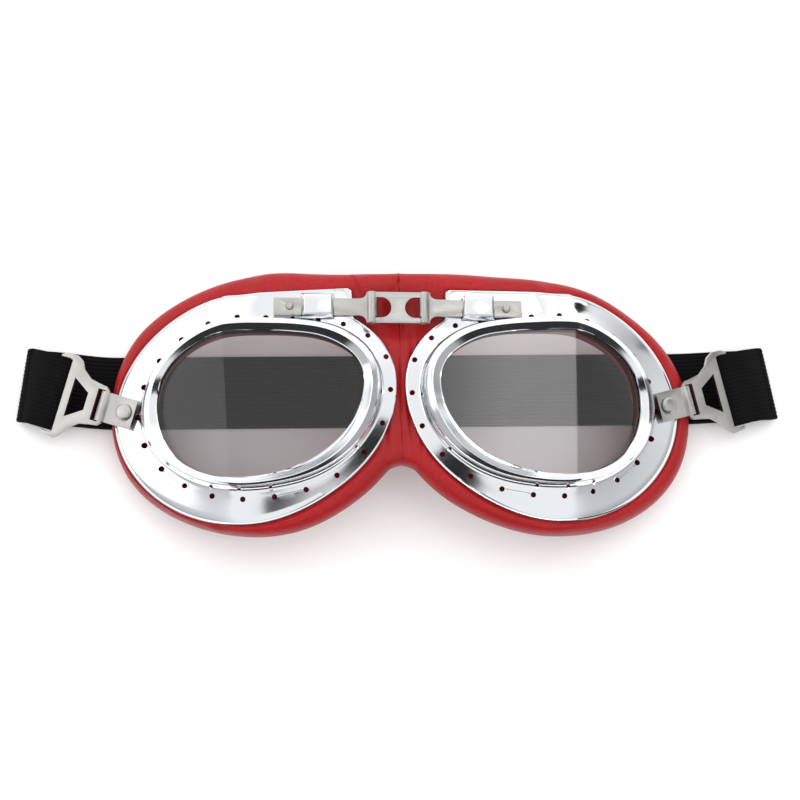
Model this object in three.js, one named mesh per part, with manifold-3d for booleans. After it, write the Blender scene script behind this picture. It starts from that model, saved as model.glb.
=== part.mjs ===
// Motorcycle goggles with a split bridge, lying on their back with the lenses facing up.
// Millimetres, +Z out of the lenses, +Y towards the brow, +X towards the wearer's left.
// The origin is the middle of the strap's underside, which lies on the table.
// A cup is drawn in its own frame: U runs outward from the nose, V towards the brow.
import * as THREE from 'three';
import { ParametricGeometry } from 'three/addons/geometries/ParametricGeometry.js';
import * as BufferGeometryUtils from 'three/addons/utils/BufferGeometryUtils.js';
import Module from 'manifold-3d';

const wasm = await Module();
wasm.setup();

// Driving dimensions
const GAP = 0.3;                    // clearance between touching pieces
const FRONT_Z = 42;                 // crown of the bezel over the front pane
const CREASE_U = 58;                // line where the lens and frame bend back, from the nose plane
const SIDE_SLOPE = Math.tan(THREE.MathUtils.degToRad(28));
const CUP_Y = -11;                  // cup centre line relative to the strap's centre line
const RING_SLICES = 72;
const CUSHION_SLICES = 60;

// Outlines of one cup: distance from the crease point, every 15 degrees from the temple side
const LENS_OUTLINE = [
  23, 23.4, 23.8, 23.8, 23.6, 23.7, 24.1, 25.2, 27.6, 32.6, 40.4, 46.4,
  44.6, 40, 34.9, 30.3, 27, 24.9, 23.7, 23.1, 22.9, 22.9, 22.8, 22.8,
];
const BEZEL_OUTLINE = [
  28.5, 28.4, 28.1, 27.7, 27.5, 27.9, 28.6, 29.8, 32.6, 38.4, 46.6, 51.8,
  50.8, 46.3, 40.6, 35, 30.6, 28, 26.6, 25.7, 25.4, 25.7, 26.7, 27.8,
];
const PLATE_OUTLINE = [
  38.3, 37.7, 37, 36.5, 36.4, 36.9, 37.9, 39, 41.5, 46.5, 53.4, 57.6,
  56.2, 52.4, 47.8, 44, 41.5, 39.9, 38.6, 37.5, 37, 37, 37.4, 38,
];
const CUSHION_OUTLINE = [
  41.8, 42.2, 42.6, 42.8, 42.2, 42, 43.1, 46.4, 52, 58, 62, 62,
  61, 59.5, 54.9, 50.2, 46.6, 43.7, 41.4, 40.2, 40, 40.7, 41.5, 41.8,
];
const EAR_TOP_V = 38.4;             // squared corner of the plate beside the bridge
const EAR_SIDE_U = 14.4;

const PLATE_THICKNESS = 1.3;
const LENS_THICKNESS = 2;
const LENS_DEPTH = 2.5;             // lens front face below the bezel's crown
const LENS_REBATE = 1.2;            // lens edge hidden under the bezel
const SEAT_DEPTH = 4.8;             // plate's lens seat below the bezel's crown
const VALLEY_DEPTH = 8.5;           // foot of the plate's wall below the crown
const VALLEY_OUT = 1.2;             // foot of the wall outside the bezel
const VENT_COUNT = 23;
const VENT_RADIUS = 0.9;
const VENT_CROWD = { shift: 0.73, middle: 10.8, width: 3.6 };       // holes drawn towards the ear
const VENT_NOSE = { out: 1.5, angle: 2.83, width: 0.2 };            // path swings out beside the nose
const VENT_ARM = { out: -1.1, angle: 2.23, width: 0.25 };           // and in under the bridge arm

const NOSE_GAP = 2.4;               // each cushion stops this far from the nose plane
const CUSHION_TOP = 12.4;           // cushion's outer edge below the crown
const BACK_NOSE_Z = 20;             // back edge of the cushion at the nose
const BACK_TEMPLE_Z = 2;            // and at the temples, over the strap
const BACK_REACH_U = 92;

const BRIDGE = { x: -0.7, y: CUP_Y + 33.1, z: 34.9, tilt: THREE.MathUtils.degToRad(-1.1) };
const HINGE_X = 8.7;
const CURL_RADIUS = 1.8;
const CURL_BORE = 1.0;
const CURL_LENGTH = 10.5;
const ARM_WIDTH = 5.75;
const ARM_THICKNESS = 1.2;
const ARM_END_X = 41.5;
const ARM_RIVET_X = 36.2;
const KEEPER = { x0: 21, x1: 32.7, width: 8.8, above: 0.5, height: 3.2, bevelX: 1.3, bevelY: 1.2 };

const RIVET = { u: 92.1, v: 3 };    // swivel rivet of the side tab
const FLANGE_RISE = 0.16;           // how much flatter the temple flange is than the side pane
const TAB = { inner: -3.8, bar: 8.2, width: 10.2, thickness: 1.5, loopRadius: 2, bore: 1.25 };
const BUCKLE_THICKNESS = 1.2;

const STRAP = { width: 25, thickness: 1.4, middle: 62.5, run: 64, turnRadius: 2.5 };

// One entry for each side. turn: the cup's turn in its own frame, in degrees; swivel: the tab's.
const SIDES = [
  { name: 'left', sign: 1, turn: -1.4, swivel: 16.4, strapReach: 132.5 },
  { name: 'right', sign: -1, turn: -2.6, swivel: 21, strapReach: 129 },
];

const CHROME = { color: 0xe4e8ec, roughness: 0.06, metalness: 1 };
const NICKEL = { color: 0xcdcbc4, roughness: 0.32, metalness: 1 };
const LEATHER = { color: 0xb0282d, roughness: 0.5, metalness: 0 };
const ELASTIC = { color: 0x111113, roughness: 0.9, metalness: 0 };
const TINT = { color: 0x85888a, roughness: 0.03, metalness: 0, transparent: true, opacity: 0.45 };
const BLACK_PLASTIC = { color: 0x1a1212, roughness: 0.5, metalness: 0 };

const TURN = 2 * Math.PI;

// Closed meshes in and out of the boolean library

function mergedMesh(geometry) {
  const bare = geometry.clone();
  bare.deleteAttribute('normal');
  bare.deleteAttribute('uv');
  return BufferGeometryUtils.mergeVertices(bare, 1e-4);
}

function toSolid(geometry) {
  const merged = mergedMesh(geometry);
  return new wasm.Manifold(new wasm.Mesh({
    numProp: 3,
    vertProperties: new Float32Array(merged.attributes.position.array),
    triVerts: new Uint32Array(merged.index.array),
  }));
}

function fromSolid(solid) {
  const mesh = solid.getMesh();
  const geometry = new THREE.BufferGeometry();
  geometry.setAttribute('position', new THREE.BufferAttribute(mesh.vertProperties, 3));
  geometry.setIndex(new THREE.BufferAttribute(mesh.triVerts, 1));
  return geometry;
}

function cut(geometry, tools) {
  let solid = toSolid(geometry);
  for (const tool of tools) {
    solid = solid.subtract(toSolid(tool));
  }
  return fromSolid(solid);
}

function join(geometries) {
  let solid = toSolid(geometries[0]);
  for (const other of geometries.slice(1)) {
    solid = solid.add(toSolid(other));
  }
  return fromSolid(solid);
}

// Reverses the triangles of a closed mesh whose faces point inward.
function facingOut(geometry) {
  const p = geometry.attributes.position;
  const index = geometry.index.array;
  const a = new THREE.Vector3();
  const b = new THREE.Vector3();
  const c = new THREE.Vector3();
  let volume = 0;
  for (let i = 0; i < index.length; i += 3) {
    a.fromBufferAttribute(p, index[i]);
    b.fromBufferAttribute(p, index[i + 1]);
    c.fromBufferAttribute(p, index[i + 2]);
    volume += a.dot(b.cross(c));
  }
  if (volume < 0) {
    for (let i = 0; i < index.length; i += 3) {
      [index[i], index[i + 1]] = [index[i + 1], index[i]];
    }
  }
  return geometry;
}

// Cup outlines and heights

// Smooth closed curve through radii given at even angles.
function outlineRadius(radii, angle) {
  const n = radii.length;
  const t = ((angle / TURN) * n % n + n) % n;
  const i = Math.floor(t);
  const f = t - i;
  const [r0, r1, r2, r3] = [-1, 0, 1, 2].map((k) => radii[(i + k + n) % n]);
  const bend = (2 * r0 - 5 * r1 + 4 * r2 - r3) * f * f + (3 * (r1 - r2) + r3 - r0) * f * f * f;
  return r1 + 0.5 * ((r2 - r0) * f + bend);
}

function plateRadius(angle) {
  const base = outlineRadius(PLATE_OUTLINE, angle);
  const across = -Math.cos(angle);
  const up = Math.sin(angle);
  if (across <= 0.02 || up <= 0) {
    return base;
  }
  return Math.max(base, Math.min(EAR_TOP_V / up, (CREASE_U - EAR_SIDE_U) / across));
}

// The cushion stops at a plane beside the nose, which the cup's turn tilts in its own frame.
function cushionRadius(angle, turn) {
  const across = -Math.cos(angle + turn);
  const full = outlineRadius(CUSHION_OUTLINE, angle);
  return across > 0.2 ? Math.min(full, (CREASE_U - NOSE_GAP) / across) : full;
}

const lensRadius = (angle) => outlineRadius(LENS_OUTLINE, angle);
const bezelRadius = (angle) => outlineRadius(BEZEL_OUTLINE, angle);

// Point at a distance outside an outline, measured square to it.
function offsetPoint(radius, angle, out) {
  const step = 0.01;
  const at = (a) => new THREE.Vector2(radius(a) * Math.cos(a), radius(a) * Math.sin(a));
  const p = at(angle);
  const along = at(angle + step).sub(at(angle - step)).normalize();
  return new THREE.Vector2(CREASE_U + p.x + along.y * out, p.y - along.x * out);
}

// Crown of the bezel: level over the front pane, sloping down past the crease.
function crownZ(u) {
  return FRONT_Z - Math.max(0, u - CREASE_U) * SIDE_SLOPE;
}

// Fall of the flange for each millimetre outward: level under the bridge arm,
// rising against the side pane at the temple, a shallow cone elsewhere.
function flangeSlope(angle) {
  const pad = THREE.MathUtils.smoothstep(angle, 1.72, 1.92) * (1 - THREE.MathUtils.smoothstep(angle, 2.5, 2.65));
  const temple = Math.max(0, Math.cos(angle)) ** 2;
  return (0.22 * (1 - temple) - FLANGE_RISE * temple) * (1 - pad);
}

function flangePoint(angle, share) {
  const foot = offsetPoint(bezelRadius, angle, VALLEY_OUT);
  const r = plateRadius(angle);
  const rim = new THREE.Vector2(CREASE_U + r * Math.cos(angle), r * Math.sin(angle));
  const p = foot.clone().lerp(rim, share);
  const fall = flangeSlope(angle) * p.distanceTo(foot);
  return new THREE.Vector3(p.x, p.y, crownZ(p.x) - VALLEY_DEPTH - fall);
}

// A closed ring: stations[j](angle) gives the corners of its section in order.
function ring(stations, slices) {
  const target = (aroundSection, aroundRing, point) => {
    const j = Math.round(aroundSection * stations.length) % stations.length;
    point.copy(stations[j](Math.round(aroundRing * slices) % slices * TURN / slices));
  };
  return facingOut(mergedMesh(new ParametricGeometry(target, stations.length, slices)));
}

const station = (radius, out, depth) => (angle) => {
  const p = offsetPoint(radius, angle, out);
  return new THREE.Vector3(p.x, p.y, crownZ(p.x) - depth);
};

const lowered = (stationAt, drop) => (angle) => {
  const p = stationAt(angle);
  p.z -= drop;
  return p;
};

function lensGeometry() {
  const rim = LENS_REBATE;
  const centre = (depth) => () => new THREE.Vector3(CREASE_U, 0, FRONT_Z - depth);
  const stations = [
    centre(LENS_DEPTH),
    station(lensRadius, rim, LENS_DEPTH),
    station(lensRadius, rim, LENS_DEPTH + LENS_THICKNESS),
    centre(LENS_DEPTH + LENS_THICKNESS),
  ];
  const target = (aroundRing, alongSection, point) => {
    const j = Math.round(alongSection * (stations.length - 1));
    point.copy(stations[j](Math.round(aroundRing * RING_SLICES) % RING_SLICES * TURN / RING_SLICES));
  };
  const slab = new ParametricGeometry(target, RING_SLICES, stations.length - 1);
  return facingOut(withoutSlivers(mergedMesh(slab)));
}

// Drops the triangles that shrink to a line where a surface meets at one point.
function withoutSlivers(geometry) {
  const kept = [];
  const index = geometry.index.array;
  for (let i = 0; i < index.length; i += 3) {
    const [a, b, c] = [index[i], index[i + 1], index[i + 2]];
    if (a !== b && b !== c && c !== a) {
      kept.push(a, b, c);
    }
  }
  geometry.setIndex(kept);
  return geometry;
}

function bezelGeometry() {
  const crown = (angle) => {
    const inner = station(lensRadius, 0, 0)(angle);
    const outer = station(bezelRadius, 0, 0)(angle);
    const p = inner.lerp(outer, 0.45);
    p.z = crownZ(p.x);
    return p;
  };
  const pocket = LENS_REBATE + GAP;
  return ring([
    station(lensRadius, 0, LENS_DEPTH - GAP),
    station(lensRadius, 0, 1.6),
    crown,
    station(bezelRadius, 0, 3.4),
    station(bezelRadius, 0, SEAT_DEPTH - GAP),
    station(lensRadius, pocket, SEAT_DEPTH - GAP),
    station(lensRadius, pocket, LENS_DEPTH - GAP),
  ], RING_SLICES);
}

// Smooth hump of height 1 round a middle.
function hump(x, middle, width) {
  return Math.exp(-(((x - middle) / width) ** 2));
}

// Vent holes round the plate, in the valley beside the bezel, a little closer together under the arm.
function ventPlaces() {
  const steps = 720;
  const places = [];
  const out = (a) => {
    const even = 2.45 - Math.sin(a) - 0.6 * Math.cos(a);
    const swings = [VENT_NOSE, VENT_ARM].map((s) => s.out * hump(a, s.angle, s.width));
    return Math.max(1, even + swings[0] + swings[1]);
  };
  for (let i = 0; i <= steps; i += 1) {
    const angle = i / steps * TURN;
    places.push(offsetPoint(bezelRadius, angle, out(angle)));
  }
  const walked = [0];
  for (let i = 1; i <= steps; i += 1) {
    walked.push(walked[i - 1] + places[i].distanceTo(places[i - 1]));
  }
  const vents = [];
  for (let k = 0; k < VENT_COUNT; k += 1) {
    const shift = VENT_CROWD.shift * hump(k, VENT_CROWD.middle, VENT_CROWD.width);
    const goal = (k + 0.1 - shift) / VENT_COUNT * walked[steps];
    vents.push(places[walked.findIndex((d) => d >= goal)]);
  }
  return vents;
}

function drill(u, v, z, radius, depth, sides) {
  const tool = new THREE.CylinderGeometry(radius, radius, depth, sides);
  tool.rotateX(Math.PI / 2);
  tool.translate(u, v, z);
  return tool;
}

function plateGeometry() {
  const wallTop = station(bezelRadius, -0.4, SEAT_DEPTH);
  const wallUnder = station(bezelRadius, -1.2, SEAT_DEPTH + PLATE_THICKNESS);
  const seat = station(lensRadius, 0.5, SEAT_DEPTH);
  const foot = (angle) => flangePoint(angle, 0);
  const rim = (angle) => flangePoint(angle, 1);
  const plate = ring([
    seat,
    wallTop,
    foot,
    rim,
    lowered(rim, PLATE_THICKNESS),
    lowered(foot, PLATE_THICKNESS),
    wallUnder,
    lowered(seat, PLATE_THICKNESS),
  ], RING_SLICES);
  const tools = ventPlaces().map((p) => {
    const z = crownZ(p.x) - VALLEY_DEPTH;
    return drill(p.x, p.y, z, VENT_RADIUS, 12, 8);
  });
  const shank = new THREE.CylinderGeometry(1.5, 1.5, 8, 16);
  shank.rotateX(Math.PI / 2);
  shank.rotateY(flangeTilt());
  shank.translate(RIVET.u, RIVET.v, rivetZ());
  return cut(plate, [...tools, shank]);
}

// Angle of the temple flange below level, and its height at the rivet.
function flangeTilt() {
  return Math.atan(SIDE_SLOPE - FLANGE_RISE);
}

function rivetZ() {
  const foot = CREASE_U + BEZEL_OUTLINE[0] + VALLEY_OUT;
  return crownZ(RIVET.u) - VALLEY_DEPTH + FLANGE_RISE * (RIVET.u - foot);
}

function cushionGeometry(turn) {
  const outer = (angle) => cushionRadius(angle, turn);
  const backZ = (p) => {
    const reach = Math.min(Math.abs(p.x), BACK_REACH_U) / BACK_REACH_U;
    const base = BACK_NOSE_Z - (BACK_NOSE_Z - BACK_TEMPLE_Z) * reach ** 2.2;
    const low = THREE.MathUtils.smoothstep(-p.y, 4, 9) * THREE.MathUtils.smoothstep(p.x, 74, 88);
    return base - (BACK_TEMPLE_Z - 0.05) * low;
  };
  // up is 0 at the back edge and 1 under the plate
  const at = (radius, out, up) => (angle) => {
    const p = offsetPoint(radius, angle, out);
    if (radius === outer) {
      p.set(CREASE_U + (outer(angle) + out) * Math.cos(angle), (outer(angle) + out) * Math.sin(angle));
    }
    const low = backZ(p);
    return new THREE.Vector3(p.x, p.y, low + (crownZ(p.x) - CUSHION_TOP - low) * up);
  };
  const under = (share) => lowered((angle) => flangePoint(angle, share), PLATE_THICKNESS + 2 * GAP);
  return ring([
    station(lensRadius, 2.6, VALLEY_DEPTH + PLATE_THICKNESS + 2 * GAP),
    under(0),
    under(0.9),
    at(outer, -0.9, 0.82),
    at(outer, 0, 0.5),
    at(outer, -1.4, 0.16),
    at(outer, -4.8, 0),
    at(lensRadius, 5.5, 0),
    at(lensRadius, 3, 0.16),
    at(lensRadius, 2, 0.6),
  ], CUSHION_SLICES);
}

function retainerGeometry() {
  const top = SEAT_DEPTH + PLATE_THICKNESS + GAP;
  return ring([
    station(lensRadius, 0, top),
    station(lensRadius, 0.9, top),
    station(lensRadius, 0.9, top + 6),
    station(lensRadius, 0, top + 6),
  ], RING_SLICES);
}

// Bridge: a link plate between two curled arms

function extruded(shape, depth, curveSegments) {
  const steps = curveSegments ?? 8;
  return new THREE.ExtrudeGeometry(shape, { depth, bevelEnabled: false, curveSegments: steps });
}

function linkGeometry() {
  const halfX = HINGE_X + 0.65;
  const halfY = 5.3;
  const notchRadius = 3.45;
  const notchX = 5.75;
  const barX = HINGE_X - 0.65;
  const plate = new THREE.Shape();
  plate.moveTo(-halfX, -halfY);
  plate.lineTo(halfX, -halfY);
  plate.lineTo(halfX, halfY);
  plate.lineTo(-halfX, halfY);
  plate.closePath();
  for (const side of [1, -1]) {
    const notch = new THREE.Path();
    notch.moveTo(side * barX, -notchRadius);
    notch.lineTo(side * notchX, -notchRadius);
    notch.absarc(side * notchX, 0, notchRadius, -Math.PI / 2, Math.PI / 2, side > 0);
    notch.lineTo(side * barX, notchRadius);
    notch.closePath();
    plate.holes.push(notch);
  }
  const geometry = extruded(plate, 1, 12);
  geometry.translate(0, 0, -0.5);
  return geometry;
}

function armGeometry() {
  const half = ARM_WIDTH / 2;
  const shoulder = CURL_LENGTH / 2;
  const root = HINGE_X + 0.6;
  const plate = new THREE.Shape();
  plate.moveTo(root, -shoulder);
  plate.lineTo(HINGE_X + CURL_RADIUS, -shoulder);
  plate.quadraticCurveTo(HINGE_X + CURL_RADIUS + 0.3, -half, HINGE_X + 4.6, -half);
  plate.lineTo(ARM_END_X, -half);
  plate.lineTo(ARM_END_X, half);
  plate.lineTo(HINGE_X + 4.6, half);
  plate.quadraticCurveTo(HINGE_X + CURL_RADIUS + 0.3, half, HINGE_X + CURL_RADIUS, shoulder);
  plate.lineTo(root, shoulder);
  plate.closePath();
  const flat = extruded(plate, ARM_THICKNESS, 5);
  flat.translate(0, 0, -ARM_THICKNESS / 2);
  const curl = new THREE.CylinderGeometry(CURL_RADIUS, CURL_RADIUS, CURL_LENGTH, 24);
  curl.translate(HINGE_X, 0, 0);
  const bore = new THREE.CylinderGeometry(CURL_BORE, CURL_BORE, CURL_LENGTH + 2, 24);
  bore.translate(HINGE_X, 0, 0);
  const railSlots = [1, -1].map((side) => {
    const slot = new THREE.BoxGeometry(CURL_RADIUS + 1, 3, 2.9);
    slot.translate(HINGE_X - (CURL_RADIUS + 1) / 2, side * (3.1 + 1.5), 0);
    return slot;
  });
  const rivetHole = drill(ARM_RIVET_X, 0, 0, 0.9, 4, 12);
  return cut(join([flat, curl]), [bore, ...railSlots, rivetHole]);
}

function keeperGeometry() {
  const length = KEEPER.x1 - KEEPER.x0;
  const box = new THREE.BoxGeometry(length, KEEPER.width, KEEPER.height);
  const p = box.attributes.position;
  for (let i = 0; i < p.count; i += 1) {
    if (p.getZ(i) > 0) {
      p.setX(i, p.getX(i) - Math.sign(p.getX(i)) * KEEPER.bevelX);
      p.setY(i, p.getY(i) - Math.sign(p.getY(i)) * KEEPER.bevelY);
    }
  }
  const base = -ARM_THICKNESS / 2;
  box.translate((KEEPER.x0 + KEEPER.x1) / 2, KEEPER.above, base + KEEPER.height / 2);
  const channelHeight = ARM_THICKNESS + GAP + 1;
  const channel = new THREE.BoxGeometry(length + 2, ARM_WIDTH + 2 * GAP, channelHeight);
  channel.translate((KEEPER.x0 + KEEPER.x1) / 2, 0, base - 1 + channelHeight / 2);
  return cut(box, [channel]);
}

// A domed head on a shank, its axis along Z, the underside of the head at z = 0.
function rivetGeometry(headRadius, headHeight, shankRadius, shankLength, sides) {
  const outline = [
    new THREE.Vector2(0, -shankLength),
    new THREE.Vector2(shankRadius, -shankLength),
    new THREE.Vector2(shankRadius, 0),
    new THREE.Vector2(headRadius, 0),
    new THREE.Vector2(headRadius, headHeight * 0.4),
    new THREE.Vector2(headRadius * 0.75, headHeight * 0.85),
    new THREE.Vector2(0, headHeight),
  ];
  const lathe = new THREE.LatheGeometry(outline, sides);
  lathe.rotateX(Math.PI / 2);
  return facingOut(withoutSlivers(mergedMesh(lathe)));
}

// Side tab: a strip folded round the buckle's inner bar; X outward, Z off the flange.

function tabGeometry() {
  const mid = GAP + TAB.thickness / 2;
  const side = new THREE.Shape();
  const meet = Math.asin(TAB.thickness / 2 / TAB.loopRadius);
  side.moveTo(TAB.inner, GAP);
  side.absarc(TAB.bar, mid, TAB.loopRadius, Math.PI + meet, Math.PI - meet + TURN, false);
  side.lineTo(TAB.inner, GAP + TAB.thickness);
  side.closePath();
  const eye = new THREE.Path();
  eye.absarc(TAB.bar, mid, TAB.bore, 0, TURN, true);
  side.holes.push(eye);
  const strip = extruded(side, TAB.width, 10);
  strip.rotateX(Math.PI / 2);
  strip.translate(0, TAB.width / 2, 0);
  return cut(strip, [drill(0, 0, mid, 1.5, 6, 16)]);
}

// Buckle plate: X away from its inner bar, Y along the bar, with an open hook at one end.
function buckleGeometry() {
  const outline = [
    [-0.75, 5.6], [0.7, 6.8], [3.2, 7.1], [7.4, 7.9], [10.7, 10.2], [12.5, 13], [15, 14.4], [18.5, 14.4],
    [20.6, 13.4], [20.5, -12.2], [18, -12.2], [18, 12.4], [16, 12.4], [16, -13], [18, -13.4],
    [20.2, -13.1], [20.2, -14.3], [15, -15], [12.5, -13], [10.7, -10.2], [7.4, -7.9], [3.2, -7.1],
    [0.7, -6.8], [-0.75, -5.6],
  ];
  const plate = new THREE.Shape(outline.map(([x, y]) => new THREE.Vector2(x, y)));
  const openings = [
    [[0.75, -5.5], [3.5, -5.5], [3.5, 5.5], [0.75, 5.5]],
    [[6.8, -3], [13.2, -6.9], [13.2, 6.9], [6.8, 3]],
  ];
  for (const corners of openings) {
    plate.holes.push(new THREE.Path(corners.map(([x, y]) => new THREE.Vector2(x, y))));
  }
  const geometry = extruded(plate, BUCKLE_THICKNESS);
  geometry.translate(0, 0, -BUCKLE_THICKNESS / 2);
  return geometry;
}

// Strap pieces

// Sewn end of the strap, looped round the buckle's outer bar; in the buckle's frame.
function strapEndGeometry() {
  const bar = { x0: 18, x1: 20.6 };
  const wide = 23.4;
  const loop = (inset) => {
    const grow = GAP + inset;
    const halfZ = BUCKLE_THICKNESS / 2 + grow;
    const centre = (bar.x0 + bar.x1) / 2;
    const halfX = (bar.x1 - bar.x0) / 2 + grow;
    return new THREE.BoxGeometry(2 * halfX, wide + (inset > 0 ? 0 : 2), 2 * halfZ).translate(centre, -0.1, 0);
  };
  return cut(loop(STRAP.thickness), [loop(0)]);
}

// Back run of the strap with its turn at the outer end; X is the world's, mirrored by the side.
function strapRunGeometry(reach) {
  const r = STRAP.turnRadius;
  const t = STRAP.thickness;
  const centre = reach - r;
  const side = new THREE.Shape();
  side.moveTo(STRAP.run, 0);
  side.absarc(centre, r, r, -Math.PI / 2, Math.PI / 2, false);
  side.absarc(centre, r, r - t, Math.PI / 2, -Math.PI / 2, true);
  side.lineTo(STRAP.run, t);
  side.closePath();
  const band = extruded(side, STRAP.width, 10);
  band.rotateX(Math.PI / 2);
  band.translate(0, STRAP.width / 2, 0);
  return band;
}

// Scene

const goggles = new THREE.Group();

function place(parent, name, geometry, finish) {
  const mesh = new THREE.Mesh(geometry, new THREE.MeshStandardMaterial(finish));
  mesh.name = name;
  parent.add(mesh);
}

function group(parent, x, y, z) {
  const child = new THREE.Group();
  child.position.set(x, y, z);
  parent.add(child);
  return child;
}

const bridge = group(goggles, BRIDGE.x, BRIDGE.y, BRIDGE.z);
bridge.rotation.z = BRIDGE.tilt;
place(bridge, 'bridge_link', linkGeometry(), NICKEL);
const middle = new THREE.BoxGeometry(2 * STRAP.middle, STRAP.width, STRAP.thickness);
middle.translate(0, 0, STRAP.thickness / 2);
place(goggles, 'strap_middle', middle, ELASTIC);

for (const side of SIDES) {
  const turn = THREE.MathUtils.degToRad(side.turn);
  const half = group(goggles, 0, CUP_Y, 0);
  half.scale.x = side.sign;
  const crease = group(half, CREASE_U, 0, 0);
  crease.rotation.z = turn;
  const cup = group(crease, -CREASE_U, 0, 0);
  place(cup, `${side.name}_frame_plate`, plateGeometry(), CHROME);
  place(cup, `${side.name}_lens_bezel`, bezelGeometry(), CHROME);
  place(cup, `${side.name}_lens`, lensGeometry(), TINT);
  place(cup, `${side.name}_retainer_ring`, retainerGeometry(), BLACK_PLASTIC);
  place(cup, `${side.name}_cushion`, cushionGeometry(turn), LEATHER);

  const arms = group(bridge, 0, 0, 0);
  arms.scale.x = side.sign;
  place(arms, `${side.name}_bridge_arm`, armGeometry(), NICKEL);
  place(arms, `${side.name}_arm_keeper`, keeperGeometry(), CHROME);
  const armRivet = group(arms, ARM_RIVET_X, 0, ARM_THICKNESS / 2 + GAP);
  place(armRivet, `${side.name}_arm_rivet`, rivetGeometry(1.2, 0.8, 0.55, ARM_THICKNESS + GAP, 12), NICKEL);

  const flange = group(cup, RIVET.u, RIVET.v, rivetZ());
  flange.rotation.y = flangeTilt();
  const tab = group(flange, 0, 0, 0);
  tab.rotation.z = THREE.MathUtils.degToRad(side.swivel);
  place(tab, `${side.name}_side_tab`, tabGeometry(), NICKEL);
  const head = group(flange, 0, 0, 2 * GAP + TAB.thickness);
  place(head, `${side.name}_tab_rivet`, rivetGeometry(2.8, 1.2, 1.2, 3.5, 24), NICKEL);
  const buckle = group(tab, TAB.bar, 0, GAP + TAB.thickness / 2);
  place(buckle, `${side.name}_buckle`, buckleGeometry(), NICKEL);
  place(buckle, `${side.name}_strap_end`, strapEndGeometry(), ELASTIC);

  const band = group(goggles, 0, 0, 0);
  band.scale.x = side.sign;
  place(band, `${side.name}_strap_run`, strapRunGeometry(side.strapReach), ELASTIC);
}

export default goggles;
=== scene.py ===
"""Looks of a pair of motorcycle goggles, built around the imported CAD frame, as one Blender add-on file."""

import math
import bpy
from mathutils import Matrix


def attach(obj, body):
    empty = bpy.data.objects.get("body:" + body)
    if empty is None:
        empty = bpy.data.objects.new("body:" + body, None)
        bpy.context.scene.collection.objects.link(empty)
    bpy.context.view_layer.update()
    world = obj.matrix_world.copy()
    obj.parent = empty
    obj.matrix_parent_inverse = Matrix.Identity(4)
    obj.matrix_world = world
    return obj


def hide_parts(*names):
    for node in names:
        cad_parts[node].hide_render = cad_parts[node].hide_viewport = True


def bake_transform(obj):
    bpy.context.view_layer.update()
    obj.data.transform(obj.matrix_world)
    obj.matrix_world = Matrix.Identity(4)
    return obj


bl_info = {
    "name": "Motorcycle Goggles",
    "version": (1, 0, 0),
    "blender": (4, 5, 0),
    "location": "3D View > Sidebar > Goggles",
    "description": "Chrome cups, tinted panes, red leather cushions, bridge, buckles and elastic strap",
    "category": "Object",
}

import bpy
import numpy as np
from mathutils import Matrix, Vector, noise

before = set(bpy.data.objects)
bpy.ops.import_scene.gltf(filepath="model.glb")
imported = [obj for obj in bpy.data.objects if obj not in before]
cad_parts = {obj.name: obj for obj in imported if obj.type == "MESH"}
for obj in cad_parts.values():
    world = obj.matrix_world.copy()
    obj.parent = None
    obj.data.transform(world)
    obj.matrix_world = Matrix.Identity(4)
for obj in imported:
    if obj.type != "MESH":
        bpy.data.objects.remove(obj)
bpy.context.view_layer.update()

# Sizes of the cups in millimetres, as the CAD has them. U runs outward from the nose, V to the brow.
MM = 0.001
GAP = 0.3
FRONT_Z = 42.0
CREASE_U = 58.0
SIDE_SLOPE = math.tan(math.radians(28))
CUP_Y = -11.0
PLATE_THICKNESS = 1.3
LENS_THICKNESS = 2.0
LENS_DEPTH = 2.5
LENS_REBATE = 1.2
SEAT_DEPTH = 4.8
VALLEY_DEPTH = 8.5
VALLEY_OUT = 1.2
VENT_COUNT = 23
BACK_NOSE_Z = 20.0
BACK_TEMPLE_Z = 2.0
BACK_REACH_U = 92.0
EAR_TOP_V = 38.4
EAR_SIDE_U = 14.4
FLANGE_RISE = 0.16
CUSHION_TURN = math.radians(-2)

# Outlines of a cup: distance from the crease point, every 15 degrees from the temple side.
LENS_RADII = (
    23, 23.4, 23.8, 23.8, 23.6, 23.7, 24.1, 25.2, 27.6, 32.6, 40.4, 46.4,
    44.6, 40, 34.9, 30.3, 27, 24.9, 23.7, 23.1, 22.9, 22.9, 22.8, 22.8,
)
BEZEL_RADII = (
    28.5, 28.4, 28.1, 27.7, 27.5, 27.9, 28.6, 29.8, 32.6, 38.4, 46.6, 51.8,
    50.8, 46.3, 40.6, 35, 30.6, 28, 26.6, 25.7, 25.4, 25.7, 26.7, 27.8,
)
PLATE_RADII = (
    38.3, 37.7, 37, 36.5, 36.4, 36.9, 37.9, 39, 41.5, 46.5, 53.4, 57.6,
    56.2, 52.4, 47.8, 44, 41.5, 39.9, 38.6, 37.5, 37, 37, 37.4, 38,
)
CUSHION_RADII = (
    41.8, 42.2, 42.6, 42.8, 42.2, 42, 43.1, 46.4, 52, 60, 62, 62,
    61, 59.5, 54.9, 50.2, 46.6, 43.7, 41.4, 40.2, 40, 40.7, 41.5, 41.8,
)
BROW_EDGE_V = 45.0
NOSE_ARCH_V = -20.6

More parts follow.
